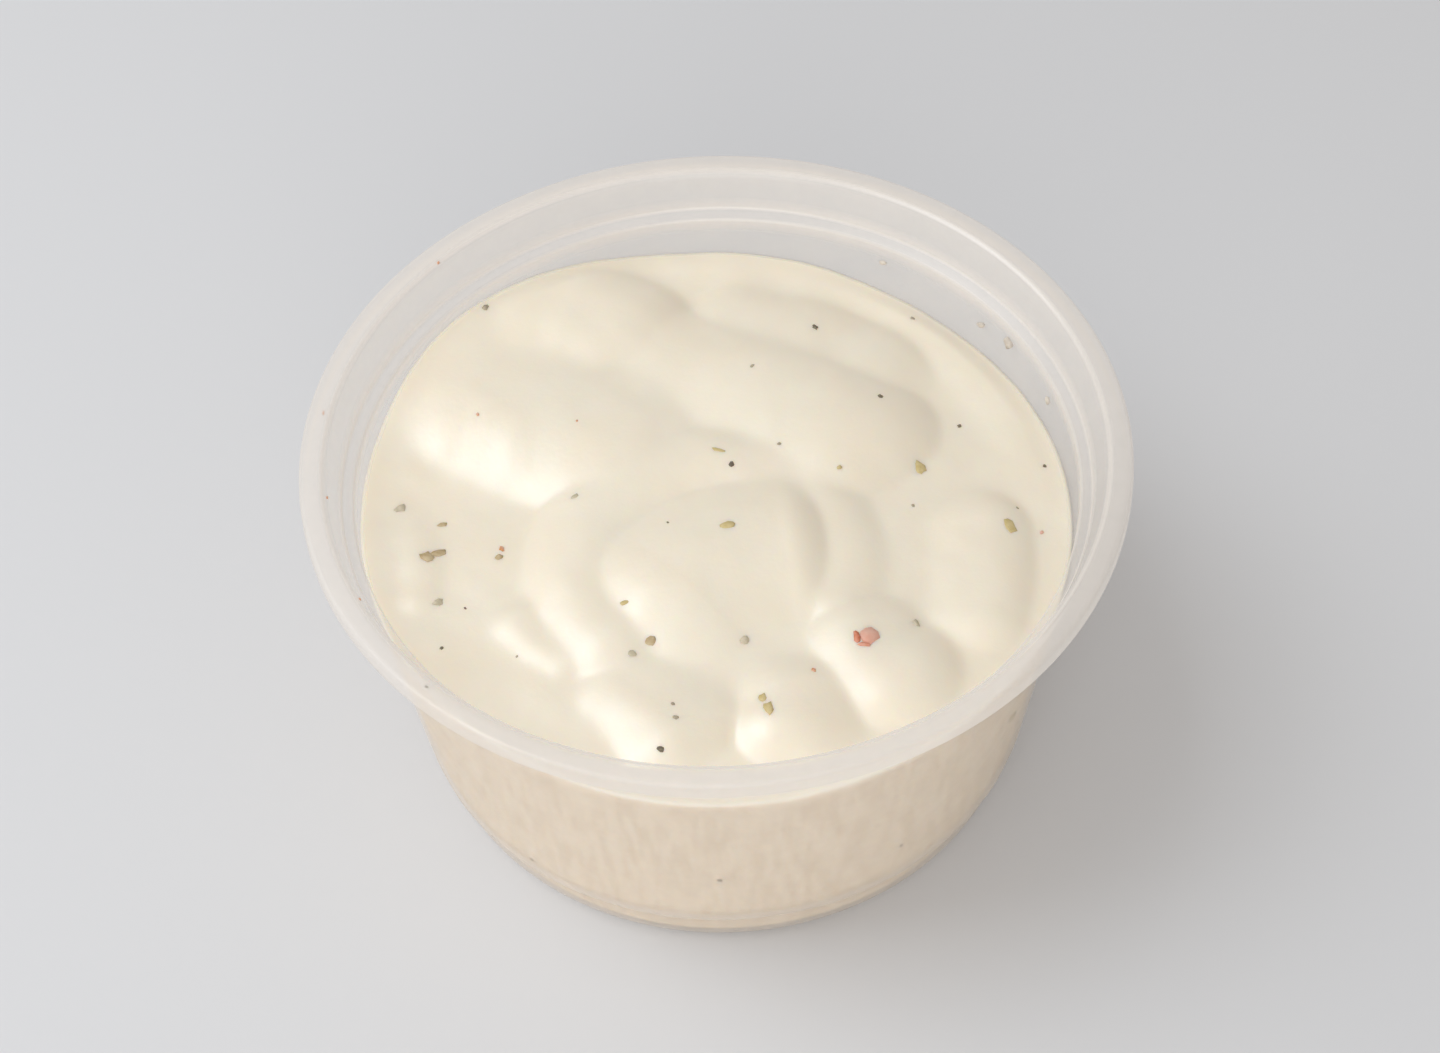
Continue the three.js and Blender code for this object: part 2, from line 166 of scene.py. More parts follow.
# Specks seen through the wall and on the rim: direction in degrees, distance from the axis
# (None is just outside the dressing), height and size
WALL_DARK_SPECKS = (
    (-92.2, None, 12.25, 0.6), (-58.8, None, 9.7, 0.45), (-129.2, None, 5.6, 0.45),
    (-134.5, 35.5, 36.25, 0.35),
)
WALL_HERBS = (
    (-32.5, None, 16.5, 1.0),
)
WALL_SMEARS = (
    (31.0, 32.3, 30.1, 1.3), (59.0, 32.3, 30.1, 0.7), (38.0, 32.2, 29.35, 0.9),
    (17.7, 32.2, 29.6, 0.8),
)
RIM_ORANGE_SPECKS = (
    (136.2, 34.7, 36.2, 0.4), (170.5, 35.4, 36.25, 0.35), (-173.5, 34.4, 35.95, 0.35),
    (-153.2, 34.55, 36.15, 0.35),
)

# ---- Colours, as linear light ----

CREAM = (0.935, 0.83, 0.68)
PALE_CREAM = (0.945, 0.85, 0.71)
GLOSS_TINT = (0.84, 0.92, 1.0)
# The dressing's sides, seen through the wall: painted shade, darker and warmer than the top cream,
# in two tones for the dressing's real vertical streaks
SHADED_SIDE_CREAM = (0.84, 0.715, 0.55)
SHADED_SIDE_STREAK = (0.77, 0.635, 0.47)
MUSTARD = (0.57, 0.45, 0.19)
PALE_MUSTARD = (0.66, 0.54, 0.28)
GREY_GREEN = (0.50, 0.45, 0.315)
PALE_GREY_GREEN = (0.67, 0.59, 0.45)
ONION_TAN = (0.45, 0.33, 0.17)
ONION_PALE = (0.60, 0.49, 0.31)
PEPPER_PINK = (0.76, 0.46, 0.36)
PEPPER_ROSE = (0.74, 0.37, 0.27)
PEPPER_RED = (0.62, 0.15, 0.05)
DARK_BROWN = (0.15, 0.12, 0.085)
DARK_GREEN = (0.26, 0.23, 0.155)
FAINT_GREY = (0.36, 0.31, 0.23)
FAINT_BROWN = (0.48, 0.41, 0.30)
ORANGE = (0.62, 0.25, 0.07)
SMEAR_TAN = (0.58, 0.52, 0.45)
SMEAR_PALE = (0.70, 0.64, 0.56)
PLASTIC_WHITE = (0.94, 0.90, 0.855)
PLASTIC_SHADE = 0.3  # the part of the haze that keeps the lamps' light from the dressing
FLOOR_GREY = (0.70, 0.71, 0.735)


# ---- Surface detail: sizes and depths in millimetres, roughness from least to most ----

MOTTLING_SIZE = 7
STREAK_SIZE = 0.8
STREAK_SQUEEZE = 0.08  # streaks run up the wall, because the height counts for this little
RIPPLE_SIZE, RIPPLE_DEPTH = 1.6, 0.03
PIT_SIZE, PIT_DEPTH = 0.35, 0.008
DRESSING_ROUGHNESS = (0.36, 0.44)
LIGHT_REACH = (1.0, 0.75, 0.45)  # how far red, green and blue travel under the surface
LIGHT_REACH_SCALE = 1.2
PLASTIC_ROUGHNESS = (0.29, 0.34)
PLASTIC_GLOW = 0.45  # the part of the haze that lets light through from behind
CLOUD_SIZE = 3.5
CLOUD_RANGE = (0.94, 1.06)
GLOSS_PATCH_SIZE = 4
FLAKE_GRAIN_DEPTH = 0.08
LUMPS = ((0.10, 5.0, 3), (0.05, 2.3, 4))  # height, size and seed of the spoon's low lumps

# ---- The light ----

ROOM_COLOUR = (1.0, 0.962, 0.918)
ROOM_STRENGTH = 0.52
KEY_TOWARD = (-0.6, 0.02, 0.78)
KEY_COLOUR = (0.93, 0.968, 1)
KEY_DISTANCE, KEY_SIZE, KEY_POWER = 0.55, 0.34, 1.32
FILL_TOWARD = (-0.1, -0.85, 0.38)
FILL_COLOUR = (1, 1, 1)
FILL_DISTANCE, FILL_SIZE, FILL_POWER = 0.8, 0.6, 2.1
FLOOR_HALF_SIZE = 900


# ---- Small helpers ----


def mix(a, b, share):
    return a + (b - a) * share


def smoothstep(low, high, value):
    share = np.clip((value - low) / (high - low), 0, 1)
    return share * share * (3 - 2 * share)


def value_noise(x, y, size, seed):
    """Smooth noise between -1 and 1 whose bumps are about `size` across."""
    lattice = np.random.default_rng(seed).uniform(-1, 1, (64, 64))
    column, row = np.floor(x / size).astype(int), np.floor(y / size).astype(int)
    across, along = smoothstep(0, 1, x / size - column), smoothstep(0, 1, y / size - row)
    low = mix(lattice[row % 64, column % 64], lattice[row % 64, (column + 1) % 64], across)
    high = mix(
        lattice[(row + 1) % 64, column % 64], lattice[(row + 1) % 64, (column + 1) % 64], across
    )
    return mix(low, high, along)


def new_piece(name, points, faces, material):
    """A mesh object from points in millimetres, riding on the part's one body."""
    mesh = bpy.data.meshes.new(name)
    mesh.from_pydata((np.asarray(points, float) * MM).tolist(), [], faces)
    mesh.polygons.foreach_set("use_smooth", [True] * len(mesh.polygons))
    mesh.update()
    mesh.validate()
    piece = bpy.data.objects.new(name, mesh)
    bpy.context.scene.collection.objects.link(piece)
    mesh.materials.append(material)
    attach(piece, "root")
    return piece


# ---- Materials ----


def new_material(name):
    """A material with one Principled shader. Returns the material, its nodes, links and shader."""
    material = bpy.data.materials.new(name)
    material.use_nodes = True
    tree = material.node_tree
    return material, tree.nodes, tree.links, tree.nodes["Principled BSDF"]


def object_coordinates(nodes, links, scale=(1, 1, 1)):
    """The piece's own coordinates in millimetres, each axis times a scale."""
    place = nodes.new("ShaderNodeTexCoord")
    stretch = nodes.new("ShaderNodeMapping")
    stretch.vector_type = "POINT"
    stretch.inputs["Scale"].default_value = [factor / MM for factor in scale]
    links.new(place.outputs["Object"], stretch.inputs["Vector"])
    return stretch.outputs["Vector"]


def noise_node(nodes, links, vector, size, detail=3.0, distortion=0.0):
    """A noise whose features are about `size` millimetres across."""
    texture = nodes.new("ShaderNodeTexNoise")
    texture.inputs["Scale"].default_value = 1 / size
    texture.inputs["Detail"].default_value = detail
    texture.inputs["Distortion"].default_value = distortion
    links.new(vector, texture.inputs["Vector"])
    return texture.outputs["Fac"]


def ramp_node(nodes, links, factor, stops):
    """A colour ramp; stops is a list of (position, colour)."""
    ramp = nodes.new("ShaderNodeValToRGB")
    ramp.color_ramp.elements[0].position, ramp.color_ramp.elements[1].position = 0, 1
    while len(ramp.color_ramp.elements) < len(stops):
        ramp.color_ramp.elements.new(0.5)
    for element, (position, colour) in zip(ramp.color_ramp.elements, stops):
        element.position = position
        element.color = (*colour, 1)
    links.new(factor, ramp.inputs["Fac"])
    return ramp.outputs["Color"]


def range_node(nodes, links, value, low, high, in_low=0.3, in_high=0.7):
    """Maps a noise onto the values from low to high."""
    spread = nodes.new("ShaderNodeMapRange")
    spread.inputs["From Min"].default_value = in_low
    spread.inputs["From Max"].default_value = in_high
    spread.inputs["To Min"].default_value = low
    spread.inputs["To Max"].default_value = high
    links.new(value, spread.inputs["Value"])
    return spread.outputs["Result"]


def multiply_node(nodes, links, first, second):
    product = nodes.new("ShaderNodeMath")
    product.operation = "MULTIPLY"
    links.new(first, product.inputs[0])
    links.new(second, product.inputs[1])
    return product.outputs["Value"]


def bump_node(nodes, links, height, depth, before=None):
    """A bump whose full height is `depth` millimetres."""
    bump = nodes.new("ShaderNodeBump")
    bump.inputs["Strength"].default_value = 1
    bump.inputs["Distance"].default_value = depth * MM
    links.new(height, bump.inputs["Height"])
    if before is not None:
        links.new(before, bump.inputs["Normal"])
    return bump.outputs["Normal"]


def dressing_material():
    """Thick cream: soft light under the surface, a satin gloss, faint mottling and tiny pits. Its
    sides carry painted shade: darker and warmer than the top, over real streaks.
    """
    material, nodes, links, shader = new_material("thick_ranch_dressing")
    vector = object_coordinates(nodes, links)
    mottling = noise_node(nodes, links, vector, MOTTLING_SIZE, detail=4)
    cream = ramp_node(nodes, links, mottling, [(0.35, CREAM), (0.65, PALE_CREAM)])
    upright = object_coordinates(nodes, links, (1, 1, STREAK_SQUEEZE))
    streaks = noise_node(nodes, links, upright, STREAK_SIZE, detail=3, distortion=0.2)
    side = ramp_node(nodes, links, streaks, [(0.38, SHADED_SIDE_STREAK), (0.58, SHADED_SIDE_CREAM)])
    place = nodes.new("ShaderNodeNewGeometry")
    upward = nodes.new("ShaderNodeSeparateXYZ")
    links.new(place.outputs["Normal"], upward.inputs["Vector"])
    on_top = range_node(nodes, links, upward.outputs["Z"], 0, 1, in_low=0.3, in_high=0.6)
    # Painted shade: where the surface faces sideways it takes the darker side colours, where it
    # faces up it takes the cream
    colour = nodes.new("ShaderNodeMix")
    colour.data_type = "RGBA"
    links.new(on_top, colour.inputs["Factor"])
    links.new(side, colour.inputs["A"])
    links.new(cream, colour.inputs["B"])
    links.new(colour.outputs["Result"], shader.inputs["Base Color"])
    gloss = noise_node(nodes, links, vector, GLOSS_PATCH_SIZE, detail=3)
    links.new(range_node(nodes, links, gloss, *DRESSING_ROUGHNESS), shader.inputs["Roughness"])
    ripples = noise_node(nodes, links, vector, RIPPLE_SIZE, detail=2)
    rippled = bump_node(nodes, links, ripples, RIPPLE_DEPTH)
    pits = noise_node(nodes, links, vector, PIT_SIZE, detail=2)
    pitted = bump_node(nodes, links, pits, PIT_DEPTH, before=rippled)
    flat_side = nodes.new("ShaderNodeMix")
    flat_side.data_type = "VECTOR"
    links.new(on_top, flat_side.inputs["Factor"])
    links.new(place.outputs["Normal"], flat_side.inputs["A"])
    links.new(pitted, flat_side.inputs["B"])
    links.new(flat_side.outputs["Result"], shader.inputs["Normal"])
    shader.inputs["Subsurface Weight"].default_value = 0.6
    shader.inputs["Subsurface Radius"].default_value = LIGHT_REACH
    shader.inputs["Subsurface Scale"].default_value = LIGHT_REACH_SCALE * MM
    shader.inputs["IOR"].default_value = 1.6
    shader.inputs["Specular IOR Level"].default_value = 1.0
    shader.inputs["Specular Tint"].default_value = (*GLOSS_TINT, 1)
    return material


def plastic_material():
    """Thin milky plastic: see-through where its haze is low, white where it is high."""
    material, nodes, links, shader = new_material("milky_plastic")
    vector = object_coordinates(nodes, links)
    shader.inputs["Base Color"].default_value = (*PLASTIC_WHITE, 1)
    shader.inputs["IOR"].default_value = 1.6
    shader.inputs["Specular IOR Level"].default_value = 1.0
    gloss = noise_node(nodes, links, vector, GLOSS_PATCH_SIZE, detail=3)
    links.new(range_node(nodes, links, gloss, *PLASTIC_ROUGHNESS), shader.inputs["Roughness"])
    glow = nodes.new("ShaderNodeBsdfTranslucent")
    glow.inputs["Color"].default_value = (*PLASTIC_WHITE, 1)
    body = nodes.new("ShaderNodeMixShader")
    body.inputs["Fac"].default_value = PLASTIC_GLOW
    links.new(shader.outputs["BSDF"], body.inputs[1])
    links.new(glow.outputs["BSDF"], body.inputs[2])
    haze = nodes.new("ShaderNodeAttribute")
    haze.attribute_name = HAZE_LAYER
    clouds = noise_node(nodes, links, vector, CLOUD_SIZE, detail=3)
    spread = range_node(nodes, links, clouds, *CLOUD_RANGE)
    clouded = multiply_node(nodes, links, haze.outputs["Fac"], spread)
    path = nodes.new("ShaderNodeLightPath")
    lamp_share = range_node(
        nodes, links, path.outputs["Is Shadow Ray"], 1, PLASTIC_SHADE, in_low=0, in_high=1
    )
    see = nodes.new("ShaderNodeMixShader")
    links.new(multiply_node(nodes, links, clouded, lamp_share), see.inputs["Fac"])
    links.new(nodes.new("ShaderNodeBsdfTransparent").outputs["BSDF"], see.inputs[1])
    links.new(body.outputs["Shader"], see.inputs[2])
    links.new(see.outputs["Shader"], nodes["Material Output"].inputs["Surface"])
    return material


def flake_material(name, dark, light, size, roughness):
    """A flake's two tones, mottled, with a rough wet surface."""
    material, nodes, links, shader = new_material(name)
    vector = object_coordinates(nodes, links)
    mottling = noise_node(nodes, links, vector, size, detail=4)
    colour = ramp_node(nodes, links, mottling, [(0.35, dark), (0.62, light)])
    links.new(colour, shader.inputs["Base Color"])
    grain = noise_node(nodes, links, vector, size / 2, detail=4)
    links.new(
        range_node(nodes, links, grain, roughness - 0.1, roughness + 0.1),
        shader.inputs["Roughness"],
    )
    links.new(bump_node(nodes, links, grain, FLAKE_GRAIN_DEPTH), shader.inputs["Normal"])
    return material


def floor_material():
    """Plain pale matt floor."""
    material, _, _, shader = new_material("plain_floor")
    shader.inputs["Base Color"].default_value = (*FLOOR_GREY, 1)
    shader.inputs["Roughness"].default_value = 0.7
    return material


# ---- The dressing's surface ----


def circle_of(start, end, bulge):
    """The circle that a ridge's crest runs on."""
    start, end = np.array(start, float), np.array(end, float)
    length = np.hypot(*(end - start))
    along = (end - start) / length
    left = np.array([-along[1], along[0]])
    side = math.copysign(1, bulge)
    signed_radius = (length * length / 4 + bulge * bulge) / (2 * bulge)
    centre = (start + end) / 2 + left * (bulge - signed_radius)
    half_sweep = math.atan2(length / 2, abs(signed_radius) - abs(bulge))
    return along, left * side, side, abs(signed_radius), centre, half_sweep


def ridge_height(ridge, x, y):
    """A ridge's height over each point, as the solid has it."""
    start, end, bulge, depths, reach, shoulder = ridge
    along, outward, side, radius, centre, half_sweep = circle_of(start, end, bulge)
    from_x, from_y = x - centre[0], y - centre[1]
    turn = np.arctan2(
        from_x * along[0] + from_y * along[1], from_x * outward[0] + from_y * outward[1]
    )
    across = (np.hypot(from_x, from_y) - radius) * side
    past = np.zeros_like(across)
    for corner, end_turn in ((start, -half_sweep), (end, half_sweep)):
        beyond = turn * math.copysign(1, end_turn) > half_sweep
        heading = along * math.cos(end_turn) - outward * math.sin(end_turn)
        off_x, off_y = x - corner[0], y - corner[1]
        across = np.where(beyond, heading[0] * off_y - heading[1] * off_x, across)
        past = np.where(beyond, heading[0] * off_x + heading[1] * off_y, past)
    share = np.clip((turn / half_sweep + 1) / 2, 0, 1)
    first_half = mix(depths[0], depths[1], smoothstep(0, 0.5, share))
    last_half = mix(depths[1], depths[2], smoothstep(0.5, 1, share))
    crest = np.where(share < 0.5, first_half, last_half)
    sideways = across / np.where(across > 0, reach[0], reach[1])
    lengthways = past / np.where(past > 0, reach[3], reach[2])
    return HEIGHT - crest - RIDGE_FALL * np.hypot(sideways, lengthways) ** shoulder


def wall_level(x, y):
    """The height at which the dressing meets the wall in each direction."""
    count = len(WALL_DEPTHS)
    place = (np.arctan2(y, x) / (2 * np.pi) * count) % count
    index = np.floor(place).astype(int) % count
    depths = np.array(WALL_DEPTHS)
    depth = mix(depths[index], depths[(index + 1) % count], smoothstep(0, 1, place - index))
    return HEIGHT - depth


def surface_height(x, y):
    """The solid's surface: the ridges and the level between them, with filled creases."""
    from_centre = np.hypot(x, y)
    at_wall = wall_level(x, y)
    level = HEIGHT - LEVEL_DEPTH + LEVEL_RISE_Y * y
    level = mix(level, at_wall, smoothstep(LEVEL_BLEND_START, WALL_TOP_RADIUS, from_centre))
    heights = np.array([level, *(ridge_height(ridge, x, y) for ridge in RIDGES.values())])
    highest = heights.max(0)
    share = np.exp((heights - highest) / FOLD_FILL).sum(0)
    swirl = highest + FOLD_FILL * np.log(share)
    return mix(swirl, at_wall, smoothstep(RIDGE_BLEND_START, WALL_TOP_RADIUS, from_centre))


def fine_relief(x, y):
    """Low lumps left by the spoon, finer than the solid holds."""
    return sum(height * value_noise(x, y, size, seed) for height, size, seed in LUMPS)


def dressed_height(x, y):
    return surface_height(x, y) + fine_relief(x, y)


def wall_radius(z):
    """Radius of the cup's inside, for heights on the tapered wall."""
    share = (z - WALL_FOOT_HEIGHT) / (WALL_TOP_HEIGHT - WALL_FOOT_HEIGHT)
    return mix(WALL_FOOT_RADIUS, WALL_TOP_RADIUS, share)


def edge_radius(angle):
    """The radius at which the surface runs into the wall."""
    radius = np.full_like(angle, WALL_TOP_RADIUS)
    for _ in range(6):
        z = dressed_height(radius * np.cos(angle), radius * np.sin(angle))
        radius = wall_radius(z) + REACH_INTO_WALL
    return radius


def surface_points():
    points = [np.array([[0, 0, dressed_height(np.zeros(1), np.zeros(1))[0]]])]
    for ring in range(1, SURFACE_RINGS + 1):
        angle = 2 * np.pi * np.arange(6 * ring) / (6 * ring)
        radius = edge_radius(angle) * ring / SURFACE_RINGS
        x, y = radius * np.cos(angle), radius * np.sin(angle)
        points.append(np.column_stack([x, y, dressed_height(x, y)]))
    return np.vstack(points)


def surface_faces():
    """Triangles between each ring of 6 k points and the next."""

    def start(ring):
        return 0 if ring == 0 else 1 + 3 * ring * (ring - 1)

    def point(ring, step):
        return start(ring) + (0 if ring == 0 else step % (6 * ring))

    faces = []
    for ring in range(1, SURFACE_RINGS + 1):
        for sector in range(6):
            for step in range(ring):
                outer = point(ring, sector * ring + step)
                next_outer = point(ring, sector * ring + step + 1)
                inner = point(ring - 1, sector * (ring - 1) + step)
                faces.append((inner, outer, next_outer))
                if step < ring - 1:
                    next_inner = point(ring - 1, sector * (ring - 1) + step + 1)
                    faces.append((inner, next_outer, next_inner))
    return faces


def underside_corners():
    """The dressing's outline below the tapered wall, just inside the plastic."""
    inner_foot = FOOT_RADIUS - WALL + REACH_INTO_WALL
    floor = WALL - REACH_INTO_WALL
    return [
        (WALL_FOOT_RADIUS + REACH_INTO_WALL, WALL_FOOT_HEIGHT),
        (WALL_FOOT_RADIUS - 0.1, FOOT_STEP_HEIGHT + 0.2),
        (inner_foot + 0.1, FOOT_STEP_HEIGHT - 0.15),
        (inner_foot, 1.1),
        (inner_foot - 0.15, 0.6),
        (inner_foot - 0.55, floor + 0.05),
        (RESTING_RING_INNER + 0.2, floor),
        (RESTING_RING_INNER - 0.85, FLOOR_RISE + floor),
    ]


def make_dressing(material):
    top = surface_points()
    faces = surface_faces()
    edge_count = 6 * SURFACE_RINGS
    angle = 2 * np.pi * np.arange(edge_count) / edge_count
    edge = top[-edge_count:]
    corners = underside_corners()
    rings = []
    for level in range(1, SIDE_LEVELS):
        z = mix(edge[:, 2], corners[0][1], level / SIDE_LEVELS)
        radius = wall_radius(z) + REACH_INTO_WALL
        rings.append(np.column_stack([radius * np.cos(angle), radius * np.sin(angle), z]))
    for radius, z in corners:
        rings.append(
            np.column_stack([radius * np.cos(angle), radius * np.sin(angle), np.full(edge_count, z)])
        )
    points = np.vstack([top, *rings, [[0, 0, FLOOR_RISE + WALL - REACH_INTO_WALL]]])
    first = len(top) - edge_count
    for band in range(len(rings)):
        upper = first + band * edge_count
        lower = upper + edge_count
        for step in range(edge_count):
            after = (step + 1) % edge_count
            faces.append((upper + step, lower + step, lower + after, upper + after))
    last, middle = first + len(rings) * edge_count, len(points) - 1
    faces += [(middle, last + (step + 1) % edge_count, last + step) for step in range(edge_count)]
    piece = new_piece("dressing_swirl", points, faces, material)
    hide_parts("dressing")
    return piece


# ---- The cup ----

# How far a corner's curve starts from the corner
FLOOR_ROUNDING = 0.8
RESTING_RING_ROUNDING = 0.6
FOOT_OUTER_ROUNDING, FOOT_INNER_ROUNDING = 0.9, 0.7
STEP_ROUNDING = 0.2
WALL_FOOT_ROUNDING = 0.35
SHOULDER_ROUNDING = 0.3
INNER_BEND_ROUNDING = 0.25
SEAT_TOP_ROUNDING = 0.35
SEAT_MOUTH_ROUNDING = 0.85
SKIRT_EDGE_ROUNDINGS = (0.1, 0.2)
RIM_ROUNDING = 0.5
CORNER_STEPS = 6
LONGEST_STRETCH = 1.2

# Small offsets of the cup's corners
FLOOR_SLOPE = 1  # the raised floor starts this far inside the resting ring
FOOT_FLARE = 0.05
SEAT_FLARE = 0.1
OUTER_SHOULDER_LIFT = 0.1
WALL_FOOT_LIFT = 0.35
INNER_RING_SHIFTS = (0.25, 0.8)

# The name of the haze layer, and the haze of each stretch: how much light the sheet catches
HAZE_LAYER = "haze"
OUTER_WALL_HAZE = 0.38
INNER_WALL_HAZE = 0.17
MOTTLE_HAZE = 0.06  # how far the wall's haze strays from place to place
# The foot's milky sheet, made whiter than the wall as painted light for the glow bounced up from the
# floor
FOOT_HAZE_AND_BOUNCE_LIGHT = 0.5
SEAT_HAZE = 0.36
FLANGE_HAZE = 0.46
# Painted highlight: the sheet turns fully white along its bends, for the bright gloss lines there
BEND_HIGHLIGHT_HAZE = 1.0
BEND_HIGHLIGHT_WIDTH = 0.32  # how far from a bend the painted highlight has mostly gone
MOTTLE_SIZE = 2.6
WOBBLE_SIZE = 3.0

# The bends where the sheet is whitened as a painted highlight, as radius and height
HIGHLIGHT_BENDS = (
    (RIM_FLAT_INNER - 0.15, HEIGHT - 0.1),
    (SEAT_FOOT_RADIUS + 0.1, HEIGHT - SHOULDER_DEPTH + 0.1),
    (WALL_TOP_RADIUS + 0.1, WALL_TOP_HEIGHT + 0.35),
    (WALL_FOOT_RADIUS + WALL, FOOT_STEP_HEIGHT),
)


def sheet_haze(x, y, z):
    """The haze of the sheet at each point: whitest at the bends, where it is a painted highlight,
    and on the flange.
    """
    radius = np.hypot(x, y)
    nearest = np.min([np.hypot(radius - bend[0], z - bend[1]) for bend in HIGHLIGHT_BENDS], axis=0)
    middle = np.where(z > WALL_FOOT_HEIGHT, wall_radius(z), FOOT_RADIUS - WALL) + WALL / 2
    haze = np.where(radius < middle, INNER_WALL_HAZE, OUTER_WALL_HAZE)
    haze = haze + MOTTLE_HAZE * value_noise(x + 50, y + 50 + 0.7 * z, MOTTLE_SIZE, 12)
    # Below the step the foot gets its haze, whitened as painted bounce light
    haze = np.where(z < FOOT_STEP_HEIGHT, np.maximum(haze, FOOT_HAZE_AND_BOUNCE_LIGHT), haze)
    haze = mix(haze, SEAT_HAZE, smoothstep(WALL_TOP_HEIGHT - 0.2, WALL_TOP_HEIGHT + 0.2, z))
    haze = mix(haze, FLANGE_HAZE, smoothstep(SEAT_TOP_RADIUS, RIM_FLAT_INNER, radius))
    return np.maximum(haze, BEND_HIGHLIGHT_HAZE * np.exp(-((nearest / BEND_HIGHLIGHT_WIDTH) ** 2)))


def cup_corners():
    """The cup's closed outline as (radius, height, rounding), from under the floor and back."""
    shoulder = HEIGHT - SHOULDER_DEPTH
    skirt_inner, skirt_foot = RIM_RADIUS - WALL, HEIGHT - SKIRT_DROP
    inner_foot = FOOT_RADIUS - WALL
    ring_shift, floor_shift = INNER_RING_SHIFTS
    outside = [
        (0, FLOOR_RISE, 0),
        (RESTING_RING_INNER - FLOOR_SLOPE, FLOOR_RISE, FLOOR_ROUNDING),
        (RESTING_RING_INNER, 0, RESTING_RING_ROUNDING),
        (FOOT_RADIUS, 0, FOOT_OUTER_ROUNDING),
        (FOOT_RADIUS + FOOT_FLARE, FOOT_STEP_HEIGHT, STEP_ROUNDING),
        (WALL_FOOT_RADIUS + WALL, FOOT_STEP_HEIGHT, WALL_FOOT_ROUNDING),
        (WALL_TOP_RADIUS + WALL, WALL_TOP_HEIGHT + OUTER_SHOULDER_LIFT, SHOULDER_ROUNDING),
        (SEAT_FOOT_RADIUS + WALL, shoulder - SHOULDER_DROP, SHOULDER_ROUNDING),
        (SEAT_TOP_RADIUS + WALL, HEIGHT - WALL, SEAT_TOP_ROUNDING),
        (skirt_inner, HEIGHT - WALL, INNER_BEND_ROUNDING),
        (skirt_inner, skirt_foot, SKIRT_EDGE_ROUNDINGS[0]),
        (RIM_RADIUS, skirt_foot, SKIRT_EDGE_ROUNDINGS[1]),
        (RIM_RADIUS, HEIGHT, RIM_ROUNDING),
    ]
    inside = [
        (SEAT_TOP_RADIUS + SEAT_FLARE, HEIGHT, SEAT_MOUTH_ROUNDING),
        (SEAT_FOOT_RADIUS, shoulder, INNER_BEND_ROUNDING),
        (WALL_TOP_RADIUS, shoulder - SHOULDER_DROP, INNER_BEND_ROUNDING),
        (WALL_FOOT_RADIUS, FOOT_STEP_HEIGHT + WALL_FOOT_LIFT, WALL_FOOT_ROUNDING),
        (inner_foot, FOOT_STEP_HEIGHT, STEP_ROUNDING),
        (inner_foot, WALL, FOOT_INNER_ROUNDING),
        (RESTING_RING_INNER + ring_shift, WALL, RESTING_RING_ROUNDING),
        (RESTING_RING_INNER - floor_shift, FLOOR_RISE + WALL, FLOOR_ROUNDING),
        (0, FLOOR_RISE + WALL, 0),
    ]
    return outside + inside


def rounded(corners, steps=CORNER_STEPS):
    """The outline with each corner turned into a curve of its stated rounding."""
    outline = []
    for index, (radius, z, rounding) in enumerate(corners):
        corner = Vector((radius, z))
        if rounding == 0:
            outline.append(corner)
            continue
        before = Vector(corners[index - 1][:2]) - corner
        after = Vector(corners[index + 1][:2]) - corner
        cut = min(rounding, 0.45 * before.length, 0.45 * after.length)
        start, end = corner + before.normalized() * cut, corner + after.normalized() * cut
        for step in range(steps + 1):
            share = step / steps
            outline.append(start.lerp(corner, share).lerp(corner.lerp(end, share), share))
    return outline


def with_wall_points(outline, longest=LONGEST_STRETCH):
    """The outline with its long straight stretches divided, so that the wall can wobble."""
    points = [outline[0]]
    for point in outline[1:]:
        count = max(1, math.ceil((point - points[-1]).length / longest))
        begin = points[-1]
        points += [begin.lerp(point, step / count) for step in range(1, count + 1)]
    return points


def make_cup(material):
    outline = with_wall_points(rounded(cup_corners()))
    angle = 2 * np.pi * np.arange(CUP_SEGMENTS) / CUP_SEGMENTS
    rings = []
    for radius, z in outline[1:-1]:
        free = smoothstep(1, 6, z) * (1 - smoothstep(WALL_TOP_HEIGHT - 3, WALL_TOP_HEIGHT, z))
        wobble = WALL_WOBBLE * free * value_noise(
            32 * np.cos(angle) + 100, 32 * np.sin(angle) + 100 + 0.25 * z, WOBBLE_SIZE, 9
        )
        rings.append(
            np.column_stack(
                [
                    (radius + wobble) * np.cos(angle),
                    (radius + wobble) * np.sin(angle),
                    np.full(CUP_SEGMENTS, z),
                ]
            )
        )
    points = np.vstack([[[0, 0, outline[0].y]], *rings, [[0, 0, outline[-1].y]]])
    faces = []
    for band in range(len(rings) - 1):
        lower = 1 + band * CUP_SEGMENTS
        upper = lower + CUP_SEGMENTS
        for step in range(CUP_SEGMENTS):
            after = (step + 1) % CUP_SEGMENTS
            faces.append((lower + step, lower + after, upper + after, upper + step))
    last, top_middle = 1 + (len(rings) - 1) * CUP_SEGMENTS, len(points) - 1
    for step in range(CUP_SEGMENTS):
        after = (step + 1) % CUP_SEGMENTS
        faces.append((0, 1 + after, 1 + step))
        faces.append((top_middle, last + step, last + after))
    piece = new_piece("cup_shell", points, faces, material)
    layer = piece.data.attributes.new(HAZE_LAYER, "FLOAT", "POINT")
    layer.data.foreach_set("value", sheet_haze(*points.T))
    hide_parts("cup")
    return piece


# ---- Flakes ----


